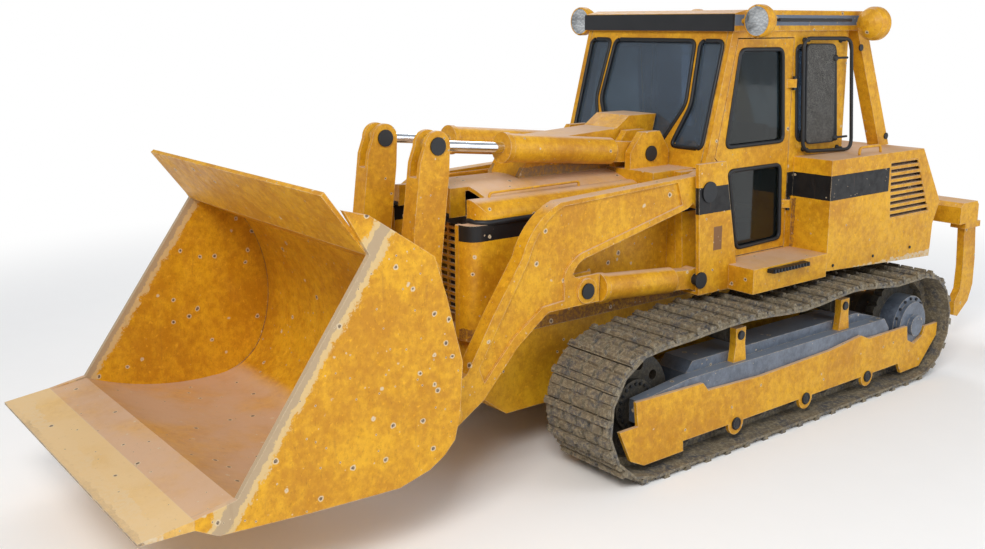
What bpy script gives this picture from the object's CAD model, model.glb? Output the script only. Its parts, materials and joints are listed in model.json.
import json
from math import cos, hypot, pi, radians, sin

import bmesh
import bpy
from mathutils import Matrix, Vector


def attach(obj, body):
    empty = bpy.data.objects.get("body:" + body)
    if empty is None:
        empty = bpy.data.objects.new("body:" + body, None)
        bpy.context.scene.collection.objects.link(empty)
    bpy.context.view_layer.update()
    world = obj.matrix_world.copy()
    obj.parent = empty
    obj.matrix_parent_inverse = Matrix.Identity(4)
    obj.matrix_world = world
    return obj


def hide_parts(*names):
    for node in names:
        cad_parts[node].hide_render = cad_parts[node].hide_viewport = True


# Worn yellow crawler loader with a bucket, a cab and a ripper. Metres, +Z up, -Y is the front.
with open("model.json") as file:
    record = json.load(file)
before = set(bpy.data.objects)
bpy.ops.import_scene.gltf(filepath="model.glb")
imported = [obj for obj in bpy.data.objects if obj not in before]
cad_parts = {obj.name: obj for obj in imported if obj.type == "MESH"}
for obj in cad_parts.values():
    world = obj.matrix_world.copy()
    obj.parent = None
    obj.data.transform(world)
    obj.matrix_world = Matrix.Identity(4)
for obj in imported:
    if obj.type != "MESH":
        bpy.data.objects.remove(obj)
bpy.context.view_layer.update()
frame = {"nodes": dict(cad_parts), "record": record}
nodes = frame["nodes"]

# Colours as seen in daylight
yellow = (0.72, 0.375, 0.012)
deep_yellow = (0.50, 0.215, 0.006)
brown = (0.20, 0.090, 0.030)
chip_brown = (0.115, 0.075, 0.050)
beige = (0.62, 0.50, 0.33)
dust_pink = (0.60, 0.40, 0.26)
stripe_black = (0.008, 0.008, 0.009)
slate = (0.055, 0.072, 0.105)
slate_light = (0.13, 0.16, 0.21)
rubber = (0.005, 0.006, 0.008)
mud = (0.155, 0.125, 0.080)
mud_light = (0.30, 0.250, 0.165)
shoe_steel = (0.075, 0.075, 0.080)
bare_metal = (0.30, 0.26, 0.22)


# Material building: short helpers over one node tree
class Surface:
    def __init__(self, name):
        self.material = bpy.data.materials.new(name)
        self.material.use_nodes = True
        self.tree = self.material.node_tree
        self.tree.nodes.clear()
        self.output = self.add("OutputMaterial")
        self.shader = self.add("BsdfPrincipled")
        self.join(self.shader.outputs[0], self.output.inputs[0])
        self.coords = self.add("TexCoord")
        self.place = self.coords.outputs["Object"]

    def add(self, kind, **settings):
        node = self.tree.nodes.new("ShaderNode" + kind)
        for key, value in settings.items():
            setattr(node, key, value)
        return node

    def join(self, source, target):
        if hasattr(source, "is_output"):
            self.tree.links.new(source, target)
        elif isinstance(source, tuple) and len(source) == 3 and target.type == "RGBA":
            target.default_value = (*source, 1)
        else:
            target.default_value = source

    def sum(self, operation, *values):
        node = self.add("Math", operation=operation)
        for socket, value in zip(node.inputs, values):
            self.join(value, socket)
        return node.outputs[0]

    def noise(self, scale, detail=3, roughness=0.55, place=None, colour=False):
        node = self.add("TexNoise")
        self.join(place or self.place, node.inputs["Vector"])
        node.inputs["Scale"].default_value = scale
        node.inputs["Detail"].default_value = detail
        node.inputs["Roughness"].default_value = roughness
        return node.outputs[1 if colour else 0]

    def stretched(self, x, y, z):
        node = self.add("VectorMath", operation="MULTIPLY")
        self.join(self.place, node.inputs[0])
        node.inputs[1].default_value = (x, y, z)
        return node.outputs[0]

    def wobbled(self, amount, scale):
        shift = self.add("VectorMath", operation="SUBTRACT")
        self.join(self.noise(scale, 3, colour=True), shift.inputs[0])
        shift.inputs[1].default_value = (0.5, 0.5, 0.5)
        grow = self.add("VectorMath", operation="SCALE")
        self.join(shift.outputs[0], grow.inputs[0])
        grow.inputs["Scale"].default_value = amount
        total = self.add("VectorMath", operation="ADD")
        self.join(self.place, total.inputs[0])
        self.join(grow.outputs[0], total.inputs[1])
        return total.outputs[0]

    def fade(self, value, low, high, bottom=0.0, top=1.0):
        node = self.add("MapRange", interpolation_type="SMOOTHSTEP")
        self.join(value, node.inputs["Value"])
        for key, amount in (("From Min", low), ("From Max", high), ("To Min", bottom), ("To Max", top)):
            self.join(amount, node.inputs[key])
        return node.outputs["Result"]

    def mix(self, share, first, second):
        node = self.add("Mix", data_type="RGBA")
        self.join(share, node.inputs["Factor"])
        self.join(first, node.inputs[6])
        self.join(second, node.inputs[7])
        return node.outputs[2]

    def parts(self, vector):
        node = self.add("SeparateXYZ")
        self.join(vector, node.inputs[0])
        return node.outputs

    def up(self):
        return self.parts(self.coords.outputs["Normal"])[2]

    def bump(self, height, strength=0.3, distance=0.004):
        node = self.add("Bump")
        node.inputs["Strength"].default_value = strength
        node.inputs["Distance"].default_value = distance
        self.join(height, node.inputs["Height"])
        self.join(node.outputs[0], self.shader.inputs["Normal"])

    def edge(self, radius):
        bevel = self.add("Bevel", samples=3)
        bevel.inputs["Radius"].default_value = radius
        dot = self.add("VectorMath", operation="DOT_PRODUCT")
        self.join(bevel.outputs[0], dot.inputs[0])
        self.join(self.add("NewGeometry").outputs["Normal"], dot.inputs[1])
        return self.sum("SUBTRACT", 1.0, dot.outputs["Value"])

    def chips(self, scale, share, smallest, largest):
        """Core and rim of scattered chips: share is how many cells hold one, sizes are radii in metres."""
        spots = self.add("TexVoronoi")
        self.join(self.wobbled(largest * 0.9, 0.7 / largest), spots.inputs["Vector"])
        spots.inputs["Scale"].default_value = scale
        chance = self.parts(spots.outputs["Color"])[0]
        present = self.sum("LESS_THAN", chance, share)
        size = self.fade(chance, 0.0, share, scale * smallest, scale * largest)
        spread = self.sum("DIVIDE", spots.outputs["Distance"], size)
        core = self.sum("MULTIPLY", self.fade(spread, 0.72, 0.58), present)
        rim = self.sum("MULTIPLY", self.fade(spread, 1.15, 0.90), present)
        return core, rim

    def band(self, start, end, width, place):
        """How near a point lies to a line in the side view: 1 on the line, 0 at width from it."""
        _, along, height = self.parts(place)
        run, rise = end[0] - start[0], end[1] - start[1]
        length = hypot(run, rise)
        along_share = self.sum("MULTIPLY", self.sum("SUBTRACT", along, start[0]), rise / length)
        height_share = self.sum("MULTIPLY", self.sum("SUBTRACT", height, start[1]), run / length)
        across = self.sum("SUBTRACT", along_share, height_share)
        return self.fade(self.sum("ABSOLUTE", across), 0.0, width, 1.0, 0.0)

    def inside(self, low, high, place):
        """1 within a box and 0 outside it; the box counts on both sides of the machine."""
        across, along, height = self.parts(place)
        across = self.sum("ABSOLUTE", across)
        share = None
        for value, bottom, top in zip((across, along, height), low, high):
            above, below = self.sum("GREATER_THAN", value, bottom), self.sum("LESS_THAN", value, top)
            test = self.sum("MULTIPLY", above, below)
            share = test if share is None else self.sum("MULTIPLY", share, test)
        return share

    def set(self, **values):
        for key, value in values.items():
            self.join(value, self.shader.inputs[key.replace("_", " ")])
        return self.material


def worn_paint(name, light=yellow, deep=deep_yellow, patches=(), grime=(), bands=(),
               chips=0.30, dust=dust_pink, coat=0.08):
    """Faded paint with painted patches, torn grime, rusty bands, dust on what faces up and chips."""
    s = Surface(name)
    broad, fine = s.sum("MULTIPLY", s.noise(2.2, 3), 0.45), s.sum("MULTIPLY", s.noise(17, 6, 0.7), 0.55)
    mottle = s.sum("ADD", broad, fine)
    colour = s.mix(s.fade(mottle, 0.36, 0.62), light, deep)
    grain = s.noise(75, 5, 0.75, s.stretched(1, 1, 0.5))
    colour = s.mix(s.fade(grain, 0.52, 0.72, 0, 0.55), colour, tuple(0.55 * c for c in deep))
    pale = s.noise(28, 4, 0.6)
    colour = s.mix(s.fade(pale, 0.58, 0.74, 0, 0.5), colour, tuple(min(1, 1.25 * c + 0.01) for c in light))
    edge_place = s.wobbled(0.006, 40)
    for low, high, tint in patches:
        colour = s.mix(s.inside(low, high, edge_place), colour, tint)
    grime_break = s.fade(s.noise(30, 6, 0.75), 0.40, 0.56)
    for low, high, stain, wobble in grime:
        share = s.inside(low, high, s.wobbled(wobble, 1.2 / wobble))
        cover = s.sum("ADD", s.sum("MULTIPLY", grime_break, 0.6), 0.35)
        colour = s.mix(s.sum("MULTIPLY", share, cover), colour, stain)
    for start, end, width, stain, torn in bands:
        near = s.band(start, end, width, s.wobbled(width * 0.5, 9))
        ragged = s.sum("ADD", near, s.sum("MULTIPLY", s.noise(26, 6, 0.8), torn))
        colour = s.mix(s.fade(ragged, 0.5 + 0.5 * torn, 0.62 + 0.5 * torn), colour, stain)
    top = s.fade(s.up(), 0.82, 0.97)
    film = s.sum("MULTIPLY", top, s.fade(s.noise(2.3, 5, 0.6), 0.22, 0.62, 0.45, 0.95))
    colour = s.mix(film, colour, dust)
    streak = s.noise(6, 4, 0.6, s.stretched(5, 5, 0.32))
    colour = s.mix(s.fade(streak, 0.62, 0.80, 0, 0.28), colour, brown)
    worn_edge = s.sum("MULTIPLY", s.fade(s.edge(0.009), 0.02, 0.16), s.fade(s.noise(15, 5, 0.7), 0.34, 0.58))
    colour = s.mix(s.sum("MULTIPLY", worn_edge, 0.8), colour, beige)
    large_chips, small_chips = (7.5, 2.2 * chips, 0.009, 0.020), (16, 2 * chips, 0.003, 0.007)
    for scale, share, smallest, largest in (large_chips, small_chips):
        core, rim = s.chips(scale, share, smallest, largest)
        colour = s.mix(s.sum("MULTIPLY", rim, 0.9), colour, beige)
        rust = s.mix(s.fade(s.noise(110, 4), 0.42, 0.6), chip_brown, (0.24, 0.18, 0.12))
        colour = s.mix(core, colour, rust)
    rough = s.fade(s.sum("ADD", s.noise(14, 4), s.sum("MULTIPLY", film, 0.5)), 0.3, 1.0, 0.42, 0.85)
    s.bump(s.sum("ADD", s.noise(45, 5, 0.6), s.sum("MULTIPLY", s.noise(4, 2), 1.5)), 0.22, 0.004)
    s.shader.inputs["Specular IOR Level"].default_value = 0.35
    s.shader.inputs["Coat Weight"].default_value = coat
    s.shader.inputs["Coat Roughness"].default_value = 0.28
    return s.set(Base_Color=colour, Roughness=rough)


def track_steel(name, wheel=False):
    s = Surface(name)
    patch = s.noise(9, 6, 0.7)
    colour = s.mix(s.fade(patch, 0.38, 0.56), shoe_steel, mud)
    colour = s.mix(s.fade(s.noise(34, 6, 0.8), 0.46, 0.60, 0, 0.85), colour, mud_light)
    colour = s.mix(s.fade(s.noise(60, 6, 0.8), 0.56, 0.68, 0, 0.9), colour, (0.035, 0.028, 0.020))
    if wheel:
        colour = s.mix(0.72, colour, rubber)
    worn_edge = s.fade(s.edge(0.008), 0.03, 0.2, 0, 0.6)
    colour = s.mix(s.sum("MULTIPLY", worn_edge, s.noise(20, 3)), colour, (0.36, 0.32, 0.26))
    s.bump(s.sum("ADD", s.noise(30, 6, 0.7), s.noise(110, 3)), 0.55, 0.008)
    return s.set(Base_Color=colour, Roughness=s.fade(patch, 0.3, 0.7, 0.55, 0.9), Metallic=0.0)


def black_paint(name, shade=rubber, rough=0.42, marks=0.10):
    s = Surface(name)
    haze = s.noise(7, 5, 0.6)
    colour = s.mix(s.fade(haze, 0.35, 0.75), shade, tuple(c * 1.8 + 0.003 for c in shade))
    scratch = s.noise(12, 6, 0.8, s.stretched(9, 1.2, 1.2))
    colour = s.mix(s.fade(scratch, 0.66, 0.74, 0, 0.35), colour, beige)
    _, rim = s.chips(9, marks, 0.003, 0.010)
    colour = s.mix(s.sum("MULTIPLY", rim, 0.7), colour, (0.45, 0.38, 0.28))
    s.bump(s.noise(120, 3), 0.12, 0.002)
    return s.set(Base_Color=colour, Roughness=s.fade(haze, 0.3, 0.7, rough - 0.08, rough + 0.15))


def chrome(name):
    s = Surface(name)
    colour = s.mix(s.fade(s.noise(5, 4), 0.45, 0.7), (0.80, 0.83, 0.88), (0.55, 0.58, 0.62))
    s.bump(s.noise(300, 2, 0.5, s.stretched(1, 0.1, 1)), 0.03, 0.001)
    return s.set(Base_Color=colour, Metallic=1.0, Roughness=s.fade(s.noise(20, 4), 0.3, 0.7, 0.08, 0.22))


def glass(name, tint, clear):
    s = Surface(name)
    haze = s.noise(2.5, 4, 0.6)
    colour = s.mix(s.fade(haze, 0.35, 0.7), tint, tuple(min(1, c * 1.25) for c in tint))
    s.shader.inputs["IOR"].default_value = 1.45
    s.shader.inputs["Transmission Weight"].default_value = clear
    return s.set(Base_Color=colour, Roughness=s.fade(s.noise(9, 4), 0.4, 0.8, 0.02, 0.12))


def lamp_glass(name):
    s = Surface(name)
    facets = s.add("TexVoronoi", feature="F1")
    s.join(s.place, facets.inputs["Vector"])
    facets.inputs["Scale"].default_value = 42
    shade = s.fade(s.noise(7, 3, 0.5, s.stretched(0.6, 1, 1)), 0.30, 0.62)
    colour = s.mix(shade, (0.07, 0.075, 0.08), (0.52, 0.55, 0.57))
    s.bump(facets.outputs["Distance"], 0.6, 0.006)
    return s.set(Base_Color=colour, Metallic=0.55, Roughness=s.fade(s.noise(20, 2), 0.3, 0.7, 0.08, 0.2))


def leather(name):
    s = Surface(name)
    grain = s.add("TexVoronoi", feature="DISTANCE_TO_EDGE")
    s.join(s.wobbled(0.004, 60), grain.inputs["Vector"])
    grain.inputs["Scale"].default_value = 130
    worn = s.noise(6, 4)
    colour = s.mix(s.fade(worn, 0.4, 0.7), (0.012, 0.022, 0.018), (0.035, 0.050, 0.042))
    s.bump(s.fade(grain.outputs["Distance"], 0.0, 0.12), 0.35, 0.0015)
    return s.set(Base_Color=colour, Roughness=s.fade(worn, 0.3, 0.7, 0.38, 0.58))


def guard_mesh(name):
    s = Surface(name)
    holes = s.add("TexVoronoi", feature="DISTANCE_TO_EDGE")
    s.join(s.place, holes.inputs["Vector"])
    holes.inputs["Scale"].default_value = 85
    wire = s.fade(holes.outputs["Distance"], 0.10, 0.16)
    colour = s.mix(wire, (0.10, 0.095, 0.085), (0.006, 0.006, 0.007))
    s.bump(wire, 0.9, 0.004)
    return s.set(Base_Color=colour, Roughness=s.fade(s.noise(9, 3), 0.3, 0.7, 0.5, 0.8))


def floor_paint(name, reach):
    s = Surface(name)
    across, along, _ = s.parts(s.place)
    distance = s.sum("SQRT", s.sum("ADD", s.sum("MULTIPLY", across, across), s.sum("MULTIPLY", along, along)))
    glow = s.add("Emission")
    glow.inputs["Color"].default_value = (1, 1, 1, 1)
    blend = s.add("MixShader")
    s.join(s.fade(distance, 0.55 * reach, reach), blend.inputs[0])
    s.join(s.shader.outputs[0], blend.inputs[1])
    s.join(glow.outputs[0], blend.inputs[2])
    s.join(blend.outputs[0], s.output.inputs[0])
    tone = s.mix(s.noise(3, 2), (0.93, 0.93, 0.93), (0.95, 0.95, 0.95))
    return s.set(Base_Color=tone, Roughness=0.9)


# Stripes and stains, as boxes in metres: lowest corner, highest corner, colour, and how far a stain strays
stripe_low, stripe_high = 1.775, 1.985
lining = (0.016, 0.019, 0.020)
no_x, cab_half = 0.0, 0.774
hood_stripe = (((no_x, -1.90, 1.745), (0.70, 0.18, 1.870), stripe_black),)
tower_stripe = (((0.60, 0.0, stripe_low), (1.0, 0.70, stripe_high), stripe_black),
                ((0.945, 0.34, 1.47), (0.96, 0.44, 1.66), brown))
box_stripe = (((0.78, 1.50, stripe_low), (1.3, 2.38, stripe_high), stripe_black),
              ((0.80, 2.36, 1.50), (1.188, 3.12, 2.05), (0.05, 0.018, 0.006)))
cab_lining = ((no_x, 0.0, 1.0), (cab_half, 3.0, 3.3), lining)
wall_stripe = (((0.80, 1.385, stripe_low), (0.90, 1.52, stripe_high), stripe_black), cab_lining)
door_patches = (cab_lining,)
lip_grime = (((0.0, -4.60, 0.20), (1.40, -4.28, 1.00), beige, 0.16),
             ((0.0, -4.60, 0.20), (1.40, -4.385, 1.00), (0.22, 0.15, 0.10), 0.08))
bucket_grime = (((1.235, -4.60, 0.50), (1.26, -2.40, 2.40), brown, 0.02),
                ((0.0, -3.06, 1.90), (1.40, -3.00, 1.98), beige, 0.03))
plate_front = ((-3.875, 0.735), (-3.020, 1.955))
side_bands = ((*plate_front, 0.17, (0.62, 0.44, 0.20), 1.3),
              (*plate_front, 0.085, (0.42, 0.31, 0.19), 1.3))
box_grime = (((0.78, 1.46, 0.90), (1.21, 3.40, 1.15), beige, 0.09),
             ((0.78, 1.46, 1.20), (0.86, 1.56, 1.76), brown, 0.05))
cowl_grime = (((0.15, -1.05, 2.03), (0.30, 0.40, 2.16), (0.24, 0.16, 0.08), 0.05),)
hood_grime = (((0.0, -1.90, 0.90), (0.70, 0.70, 1.12), brown, 0.10),)

paint = worn_paint("yellow_worn")
paints = {
    "hood_body": worn_paint("yellow_hood", patches=hood_stripe, grime=hood_grime),
    "arm_towers": worn_paint("yellow_tower", patches=tower_stripe),
    "side_boxes": worn_paint("yellow_box", patches=box_stripe, grime=box_grime),
    "cab_side_walls": worn_paint("yellow_cab", patches=wall_stripe, chips=0.15),
    "bucket_shell": worn_paint("yellow_bucket", grime=bucket_grime, chips=0.45),
    "bucket_sides": worn_paint("yellow_bucket_side", bands=side_bands, chips=0.40),
    "cowl": worn_paint("yellow_cowl", grime=cowl_grime),
    "cab_front_wall": worn_paint("yellow_cab_front", chips=0.10),
    "cab_roof": worn_paint("yellow_roof", patches=(((0.0, 0.6, 3.215), (0.9, 2.62, 3.300), slate_light),)),
    "door_left": worn_paint("yellow_door", patches=door_patches, chips=0.10),
}
paints["door_right"] = paints["door_left"]
slate_paint = worn_paint("slate_worn", slate_light, slate, chips=0.4, dust=(0.16, 0.19, 0.24), coat=0.8)
steel = track_steel("track_muddy")
wheel_steel = track_steel("wheel_steel", wheel=True)
black = black_paint("black_worn")
seal_black = black_paint("seal_rubber", rough=0.5, marks=0.02)
rod_chrome = chrome("rod_chrome")
cab_glass = glass("cab_glass_tint", (0.20, 0.27, 0.36), 0.82)
door_glass = glass("door_glass_tint", (0.08, 0.105, 0.105), 0.94)
lens = lamp_glass("lamp_lens")
seat_leather = leather("seat_leather")
edge_steel = worn_paint("edge_steel", (0.74, 0.46, 0.12), (0.60, 0.34, 0.08), grime=lip_grime,
                        dust=(0.70, 0.50, 0.26))
plastic = black_paint("cab_plastic", (0.014, 0.017, 0.018), 0.6, 0.03)
iron = black_paint("engine_iron", (0.06, 0.06, 0.06), 0.6, 0.2)

by_slot = {
    "yellow_paint": paint, "blue_grey_paint": slate_paint, "track_steel": steel, "bare_steel": edge_steel,
    "black_paint": black, "chrome_rod": rod_chrome, "engine_iron": iron, "tinted_glass": cab_glass,
    "lamp_glass": lens, "seat_fabric": seat_leather, "dark_plastic": plastic,
}
paints.update(running_gear=wheel_steel, door_glass_left=door_glass, door_glass_right=door_glass,
              cab_floor=plastic, cab_ceiling=plastic, radiator_grille=paint)
for part in frame["record"]["subparts"]:
    material = paints.get(part["node"], by_slot[part["material_slot"]])
    node = nodes[part["node"]]
    for i in range(max(1, len(node.material_slots))):
        if len(node.material_slots) == 0:
            node.data.materials.append(material)
        else:
            node.material_slots[i].link = "OBJECT"
            node.material_slots[i].material = material


# Mesh pieces
def piece(name, bm, material, body, smooth=False):
    mesh = bpy.data.meshes.new(name)
    bmesh.ops.recalc_face_normals(bm, faces=bm.faces)
    bm.to_mesh(mesh)
    bm.free()
    mesh.materials.append(material)
    for face in mesh.polygons:
        face.use_smooth = smooth
    obj = bpy.data.objects.new(name, mesh)
    bpy.context.scene.collection.objects.link(obj)
    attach(obj, body)
    return obj


def rounded_loop(points, radius, steps=5):
    out = []
    count = len(points)
    for i, point in enumerate(points):
        before = Vector(points[i - 1]) - Vector(point)
        after = Vector(points[(i + 1) % count]) - Vector(point)
        reach = min(radius, before.length * 0.45, after.length * 0.45)
        start = Vector(point) + before.normalized() * reach
        end = Vector(point) + after.normalized() * reach
        for k in range(steps + 1):
            t = k / steps
            out.append(start * (1 - t) ** 2 + Vector(point) * 2 * t * (1 - t) + end * t * t)
    return out


def sweep(bm, path, radius, closed=True, sides=8):
    rings = []
    count = len(path)
    for i, point in enumerate(path):
        ahead = path[(i + 1) % count] if closed or i < count - 1 else path[i]
        behind = path[i - 1] if closed or i > 0 else path[i]
        heading = (Vector(ahead) - Vector(behind)).normalized()
        side = heading.cross(Vector((1, 0, 0)))
        if side.length < 0.2:
            side = heading.cross(Vector((0, 0, 1)))
        side.normalize()
        rise = heading.cross(side)
        ring = []
        for k in range(sides):
            angle = 2 * pi * k / sides
            ring.append(bm.verts.new(Vector(point) + side * cos(angle) * radius + rise * sin(angle) * radius))
        rings.append(ring)
    for i in range(count if closed else count - 1):
        one, two = rings[i], rings[(i + 1) % count]
        for k in range(sides):
            bm.faces.new((one[k], one[(k + 1) % sides], two[(k + 1) % sides], two[k]))
    if not closed:
        bm.faces.new(rings[0])
        bm.faces.new(rings[-1])


least_r = 0.0005


def disc(bm, centre, axis, profile, sides=24):
    """Turned shape: profile holds (distance along the axis, radius) from one end to the other."""
    axis = Vector(axis).normalized()
    side = axis.cross(Vector((0, 0, 1)) if abs(axis.z) < 0.9 else Vector((1, 0, 0))).normalized()
    rise = axis.cross(side)
    rings = []
    for distance, radius in profile:
        ring = []
        for k in range(sides):
            angle = 2 * pi * k / sides
            spoke = side * cos(angle) + rise * sin(angle)
            ring.append(bm.verts.new(Vector(centre) + axis * distance + spoke * max(radius, least_r)))
        rings.append(ring)
    for one, two in zip(rings, rings[1:]):
        for k in range(sides):
            bm.faces.new((one[k], one[(k + 1) % sides], two[(k + 1) % sides], two[k]))
    bm.faces.new(rings[0])
    bm.faces.new(rings[-1])


def block(bm, low, high, bevel=0.0):
    made = bmesh.ops.create_cube(bm, size=1)["verts"]
    middle = (Vector(low) + Vector(high)) / 2
    size = Vector(high) - Vector(low)
    for vert in made:
        vert.co = Vector((vert.co.x * size.x, vert.co.y * size.y, vert.co.z * size.z)) + middle
    if bevel:
        edges = list({edge for vert in made for edge in vert.link_edges})
        bmesh.ops.bevel(bm, geom=edges, offset=bevel, segments=2, affect="EDGES")


both = (1, -1)


def mirrored(points, side):
    return [Vector((side * p[0], p[1], p[2])) for p in points]


# Track pads: rows of worn blocks on the flats of each shoe
wheel_span, wheel_z = (-0.755, 2.73), 0.515
shoe_wide, flat_wide, pad_pitch = 0.6, 0.05, 0.086


def shoe_flats(node):
    mesh = nodes[node].data
    found = {}
    for face in mesh.polygons:
        corners = [mesh.vertices[i].co for i in face.vertices]
        xs = [c.x for c in corners]
        if max(xs) - min(xs) < shoe_wide:
            continue
        normal = Vector((0, face.normal.y, face.normal.z)).normalized()
        middle = sum(corners, Vector()) / len(corners)
        nearest_y = max(wheel_span[0], min(wheel_span[1], middle.y))
        if normal.dot(Vector((0, middle.y - nearest_y, middle.z - wheel_z))) < 0:
            continue
        along = Vector((0, -normal.z, normal.y))
        reach = [c.dot(along) for c in corners]
        if max(reach) - min(reach) < flat_wide:
            continue
        key = (round(min(reach), 3), round(max(reach), 3), round(normal.y, 2), round(normal.z, 2))
        found[key] = (min(xs), max(xs), min(reach), max(reach), normal, along, corners[0].dot(normal))
    return found.values()


def track_pads(node, body):
    bm = bmesh.new()
    high, gap, wide, taper = 0.022, 0.018, 5, 0.007
    for x0, x1, start, end, normal, along, level in shoe_flats(node):
        rows = max(1, round((end - start) / pad_pitch))
        step = (end - start) / rows
        pitch = (x1 - x0) / wide
        for row in range(rows):
            shift = 0.5 * (round((start + row * step) / step) % 2)
            for k in range(wide + 1):
                left = max(x0, x0 + (k - shift) * pitch) + gap / 2
                right = min(x1, x0 + (k + 1 - shift) * pitch) - gap / 2
                if right - left < 0.03:
                    continue
                low, top = start + row * step + gap / 2, start + (row + 1) * step - gap / 2
                lower = [bm.verts.new(Vector((x, 0, 0)) + along * a + normal * (level - 0.001))
                         for x, a in ((left, low), (right, low), (right, top), (left, top))]
                upper = [bm.verts.new(Vector((x, 0, 0)) + along * a + normal * (level + high))
                         for x, a in ((left + taper, low + taper), (right - taper, low + taper),
                                      (right - taper, top - taper), (left + taper, top - taper))]
                bm.faces.new(upper)
                for i in range(4):
                    bm.faces.new((lower[i], lower[(i + 1) % 4], upper[(i + 1) % 4], upper[i]))
    return piece(node + "_pads", bm, steel, body)


root = "machine"
track_pads("track_left", root)
track_pads("track_right", root)

# Window seals
door_panes = (((0.735, 3.027), (1.277, 3.024), (1.341, 2.259), (0.603, 2.255)),
              ((0.648, 2.060), (1.319, 2.062), (1.357, 1.425), (0.781, 1.407)))
side_pane = ((1.524, 2.254), (1.462, 3.047), (2.008, 3.039), (2.095, 2.216))
front_pane = ((0.510, 3.095), (0.750, 3.095), (0.750, 2.250), (0.420, 2.250), (0.548, 2.585))
middle_pane = ((-0.454, 3.095), (0.454, 3.095), (0.492, 2.585),
               (0.300, 2.250), (-0.300, 2.250), (-0.492, 2.585))
wall_x = 0.820
seal_r = 0.017


def front_y(z):
    return 0.354 + (z - 2.100) * (0.634 - 0.354) / (3.172 - 2.100)


def seal(name, loops, body):
    bm = bmesh.new()
    for loop in loops:
        sweep(bm, rounded_loop(loop, 0.06), seal_r)
    piece(name, bm, seal_black, body, smooth=True)


for name, side in (("left", 1), ("right", -1)):
    loops = [mirrored([(wall_x, y, z) for y, z in pane], side) for pane in door_panes]
    seal("door_seals_" + name, loops, "door_" + name)
front_loops = [mirrored([(x, front_y(z), z) for x, z in front_pane], side) for side in both]
front_loops.append([(x, front_y(z), z) for x, z in middle_pane])
seal("front_seals", front_loops, root)
seal("side_seals", [mirrored([(wall_x, y, z) for y, z in side_pane], side) for side in both], root)
rear_pane, rear_wall_y = ((-0.55, 2.25), (0.55, 2.25), (0.55, 3.0), (-0.55, 3.0)), 2.2
seal("rear_seal", [[(x, rear_wall_y, z) for x, z in rear_pane]], root)

# Guards in front of the side windows: a bent tube, a mesh panel and four stays
guard_line = ((1.470, 3.110), (2.160, 3.105), (2.260, 2.130), (1.540, 2.160))
guard_x = 0.880
panel_line = ((1.52, 3.06), (1.93, 3.055), (1.98, 2.22), (1.575, 2.225))
stay_profile = ((0, 0.024), (0.012, 0.024), (0.014, 0.012), (0.055, 0.012))
tube = bmesh.new()
panel = bmesh.new()
for side in both:
    sweep(tube, rounded_loop(mirrored([(guard_x, y, z) for y, z in guard_line], side), 0.10), 0.016)
    for y, z in ((1.560, 3.092), (2.080, 3.090), (1.620, 2.172), (2.120, 2.150)):
        disc(tube, (side * wall_x, y, z), (side, 0, 0), stay_profile, 12)
    for y, z in ((1.985, 2.94), (2.045, 2.25)):
        sweep(tube, [Vector((side * guard_x, y + d, z)) for d in (-0.06, 0, 0.13)], 0.010, closed=False)
        disc(tube, (side * (guard_x - 0.01), y - 0.06, z), (side, 0, 0), ((0, 0.026), (0.03, 0.026)), 12)
    outline = rounded_loop([(side * guard_x, y, z) for y, z in panel_line], 0.06)
    for offset in (-0.004, 0.004):
        panel.faces.new([panel.verts.new(Vector((p.x + offset, p.y, p.z))) for p in outline])
    rim_verts = list(panel.verts)[-2 * len(outline):]
    inner, outer = rim_verts[:len(outline)], rim_verts[len(outline):]
    for i in range(len(outline)):
        j = (i + 1) % len(outline)
        panel.faces.new((inner[i], inner[j], outer[j], outer[i]))
    sweep(tube, outline, 0.008, sides=6)
guard = piece("guard_frames", tube, seal_black, root, smooth=True)
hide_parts("window_guards")
piece("guard_panels", panel, guard_mesh("guard_mesh"), root)

# Seal tube under the hood lid, and the lid's rails
lid_seal = bmesh.new()
hood_half, lid_front, lid_rear, lid_z = 0.600, -1.700, -0.12, 1.872
corner_r, seal_tube_r, lever_out, lever_in = 0.11, 0.020, 0.445, 0.22
for side in both:
    corner = [(hood_half, lid_rear, lid_z), (hood_half, lid_front + corner_r, lid_z)]
    corner += [(hood_half - corner_r + corner_r * cos(a), lid_front + corner_r - corner_r * sin(a), lid_z)
               for a in (0.4, 0.8, 1.2)]
    corner += [(hood_half - corner_r, lid_front, lid_z), (lever_out, lid_front, lid_z)]
    sweep(lid_seal, mirrored(corner, side), seal_tube_r, closed=False)
sweep(lid_seal, [Vector((x, lid_front, lid_z)) for x in (-lever_in, 0, lever_in)], seal_tube_r, closed=False)
piece("lid_seal", lid_seal, seal_black, root, smooth=True)

rails = bmesh.new()
lid_bar = ((0.46, -1.52, 1.99), (0.46, -1.52, 2.055), (0.46, -0.66, 2.06), (0.46, -0.66, 2.00))
box_handle = ((1.14, 1.98, 2.11), (1.14, 1.995, 2.185), (1.14, 2.30, 2.185), (1.14, 2.315, 2.11))
foot_points = 3
for side in both:
    for bar, bend, bar_r in ((lid_bar, 0.04, 0.010), (box_handle, 0.05, 0.012)):
        path = rounded_loop(mirrored(bar, side), bend)
        sweep(rails, path[foot_points:-foot_points], bar_r, closed=False)
piece("rails_and_handles", rails, paint, root, smooth=True)

# Lamp rims
rims = bmesh.new()
rim_inset, rim_r, rim_steps = 0.012, 0.013, 28
lamps = ((1.002, 0.694, 3.250, 0.128), (1.000, 2.330, 3.230, 0.145))
for side in both:
    for x, y, z, r in lamps:
        around = [2 * pi * k / rim_steps for k in range(rim_steps)]
        middle_r = r - rim_inset
        circle = [Vector((side * x + middle_r * cos(a), y, z + middle_r * sin(a))) for a in around]
        sweep(rims, circle, rim_r)
piece("lamp_rims", rims, paint, root, smooth=True)

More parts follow.
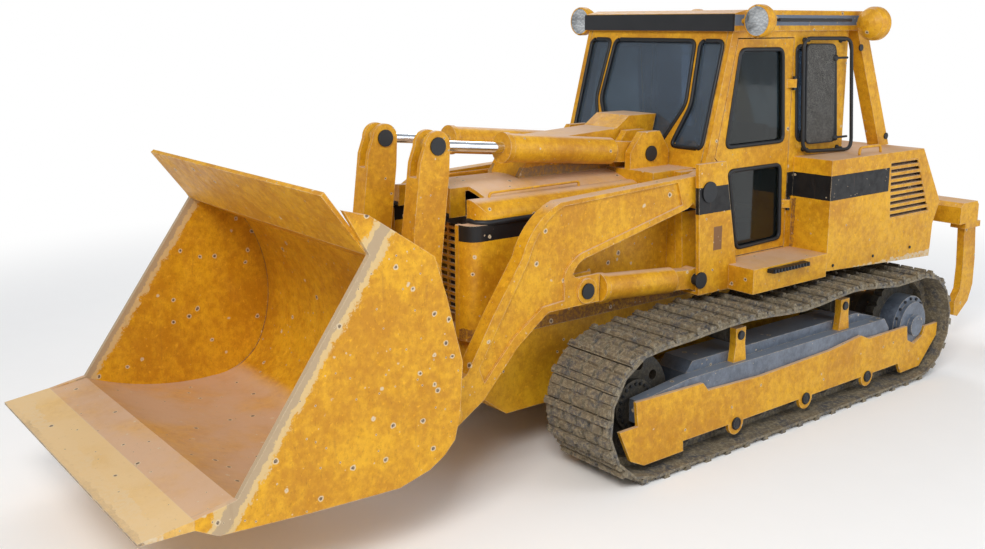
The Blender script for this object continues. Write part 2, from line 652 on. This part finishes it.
# Round caps, hub bolts and bolt heads
caps = bmesh.new()
bolts = bmesh.new()
first_roller_y, roller_pitch, roller_z = -0.245, 0.446, 0.190
guard_face, carrier_face, sprocket_face, idler_face, box_face = 1.358, 1.300, 1.290, 1.195, 1.200
roller_cap = ((-0.002, 0.050), (0.010, 0.050), (0.016, 0.042), (0.010, 0.030), (0.012, 0.0))
carrier_cap = ((-0.002, 0.036), (0.010, 0.036), (0.016, 0.028), (0.016, 0))
post_cap = ((-0.001, 0.030), (0.010, 0.030), (0.012, 0.022))
sprocket_bolt = ((0, 0.014), (0.012, 0.014), (0.014, 0.010))
idler_bolt = ((0, 0.013), (0.010, 0.013), (0.013, 0.009))
box_bolt = ((0, 0.014), (0.008, 0.014), (0.010, 0.010))
hub_rings = ((16, sprocket_face, wheel_span[1], 0.240, sprocket_bolt),
             (20, idler_face, wheel_span[0], 0.160, idler_bolt))
for side in both:
    out = (side, 0, 0)
    for i in (1, 3, 5):
        disc(caps, (side * guard_face, first_roller_y + roller_pitch * i, roller_z), out, roller_cap, 20)
    for y in (0.288, 1.672):
        disc(caps, (side * carrier_face, y, 0.870), out, carrier_cap, 18)
    for count, x, hub_y, ring_r, profile in hub_rings:
        for k in range(count):
            angle = 2 * pi * k / count
            spot = (side * x, hub_y + ring_r * cos(angle), wheel_z + ring_r * sin(angle))
            disc(bolts, spot, out, profile, 6)
    for y, z in ((2.40, 3.02), (2.90, 2.20)):
        disc(caps, (side * wall_x, y, z), out, post_cap, 16)
    for y in (1.60, 2.20, 2.80):
        disc(bolts, (side * box_face, y, 1.215), out, box_bolt, 6)
piece("round_caps", caps, black, root)
piece("bolt_heads", bolts, black, root)

# Cheeks beside the hood's front recess
cheeks = bmesh.new()
cheek_x, cheek_y, cheek_z, cheek_bevel = (0.418, 0.472), (-1.796, -1.750), (1.035, 1.855), 0.004
for side in both:
    low, high = sorted(side * x for x in cheek_x)
    block(cheeks, (low, cheek_y[0], cheek_z[0]), (high, cheek_y[1], cheek_z[1]), cheek_bevel)
piece("hood_cheeks", cheeks, paint, root)

# Cushions in the cab
def cushion(name, low, high, lean, pivot_z, node):
    bm = bmesh.new()
    bmesh.ops.create_cube(bm, size=2)
    bmesh.ops.subdivide_edges(bm, edges=bm.edges, cuts=7, use_grid_fill=True)
    middle = (Vector(low) + Vector(high)) / 2
    half = (Vector(high) - Vector(low)) / 2
    thin = min(range(3), key=lambda i: half[i])
    wide = [i for i in range(3) if i != thin]
    for vert in bm.verts:
        p = vert.co.copy()
        u, v = p[wide[0]], p[wide[1]]
        crown = (1 - u * u) * (1 - v * v)
        pull = 1 - 0.10 * abs(p[thin]) ** 3
        seam = 0.10 * max(0, 1 - abs(abs(v) - 0.36) / 0.10)
        p[thin] *= 0.62 + 0.38 * crown ** 0.35 - seam * (1 if abs(p[thin]) > 0.9 else 0)
        p[wide[0]] *= pull
        p[wide[1]] *= pull
        spot = Vector((p.x * half.x, p.y * half.y, p.z * half.z)) + middle
        spot.y += (spot.z - pivot_z) * lean
        vert.co = spot
    obj = piece(name, bm, seat_leather, root, smooth=True)
    soft = obj.modifiers.new("soft", "SUBSURF")
    soft.levels = soft.render_levels = 2
    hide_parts(node)


cushion("driver_seat_pad", (-0.255, 1.305, 1.452), (0.255, 1.815, 1.578), 0.0, 1.45, "seat_cushion")
cushion("driver_back_pad", (-0.250, 1.690, 1.585), (0.250, 1.810, 2.325), 0.19, 1.58, "seat_back")

# Controls in the cab
controls = bmesh.new()
stick, stick_r = ((1.00, 1.96), (1.06, 2.10), (1.08, 2.20)), 0.009
knob, knob_lean = ((0, 0.012), (0.02, 0.024), (0.045, 0.022), (0.055, 0.008)), (0, 0.1, 1)
pedal_half = 0.05
for x in (-0.30, -0.12, 0.12, 0.30):
    sweep(controls, [Vector((x, y, z)) for y, z in stick], stick_r, closed=False)
    disc(controls, (x, 1.08, 2.195), knob_lean, knob, 12)
for x in (-0.16, 0.16):
    block(controls, (x - pedal_half, 1.08, 1.16), (x + pedal_half, 1.20, 1.19), 0.006)
piece("cab_controls", controls, plastic, root)

# Floor, light and camera
plane = bmesh.new()
bmesh.ops.create_grid(plane, x_segments=1, y_segments=1, size=40)
ground_mesh = bpy.data.meshes.new("floor")
plane.to_mesh(ground_mesh)
plane.free()
ground_mesh.materials.append(floor_paint("floor_pale", 11))
ground = bpy.data.objects.new("floor", ground_mesh)
bpy.context.scene.collection.objects.link(ground)

world = bpy.data.worlds.new("studio")
world.use_nodes = True
bpy.context.scene.world = world
tree = world.node_tree
tree.nodes.clear()
ray = tree.nodes.new("ShaderNodeLightPath")
seen = tree.nodes.new("ShaderNodeBackground")
seen.inputs["Color"].default_value = (1, 1, 1, 1)
dome = tree.nodes.new("ShaderNodeBackground")
dome.inputs["Color"].default_value = (0.93, 0.96, 1.0, 1)
dome.inputs["Strength"].default_value = 0.50
pick = tree.nodes.new("ShaderNodeMixShader")
out = tree.nodes.new("ShaderNodeOutputWorld")
tree.links.new(ray.outputs["Is Camera Ray"], pick.inputs[0])
tree.links.new(dome.outputs[0], pick.inputs[1])
tree.links.new(seen.outputs[0], pick.inputs[2])
tree.links.new(pick.outputs[0], out.inputs[0])


def lamp(name, place, target, size, power, tint):
    data = bpy.data.lights.new(name, "AREA")
    data.shape = "RECTANGLE"
    data.size = data.size_y = size
    data.energy = power
    data.color = tint
    obj = bpy.data.objects.new(name, data)
    obj.location = place
    obj.rotation_euler = (Vector(target) - Vector(place)).to_track_quat("-Z", "Y").to_euler()
    bpy.context.scene.collection.objects.link(obj)


lamp("key", (7.0, -9.0, 9.5), (0, -0.5, 1.2), 5.0, 1150, (1.0, 0.97, 0.93))
lamp("fill", (9.0, 5.0, 5.0), (0, 0.5, 1.2), 6.0, 300, (0.92, 0.96, 1.0))
lamp("back", (-7.0, 5.0, 8.0), (0, 0.5, 1.2), 6.0, 450, (1.0, 1.0, 1.0))

eye = Vector((6.223, -6.031, 3.233))
yaw, pitch = radians(51.77), radians(10.9)
photo_width, focal_px, axis_above_centre_px = 985, 1047.6, 49.5
ahead = Vector((-sin(yaw) * cos(pitch), cos(yaw) * cos(pitch), -sin(pitch)))
aside = Vector((cos(yaw), sin(yaw), 0))
above = aside.cross(ahead)
camera_data = bpy.data.cameras.new("camera")
camera_data.sensor_width = 36
camera_data.lens = focal_px / photo_width * camera_data.sensor_width
camera_data.shift_y = -axis_above_centre_px / photo_width
camera_data.clip_end = 200
camera = bpy.data.objects.new("camera", camera_data)
turn = Matrix((aside, above, -ahead)).transposed()
camera.matrix_world = Matrix.Translation(eye) @ turn.to_4x4()
bpy.context.scene.collection.objects.link(camera)
bpy.context.scene.camera = camera
bpy.context.scene.view_settings.view_transform = "Standard"
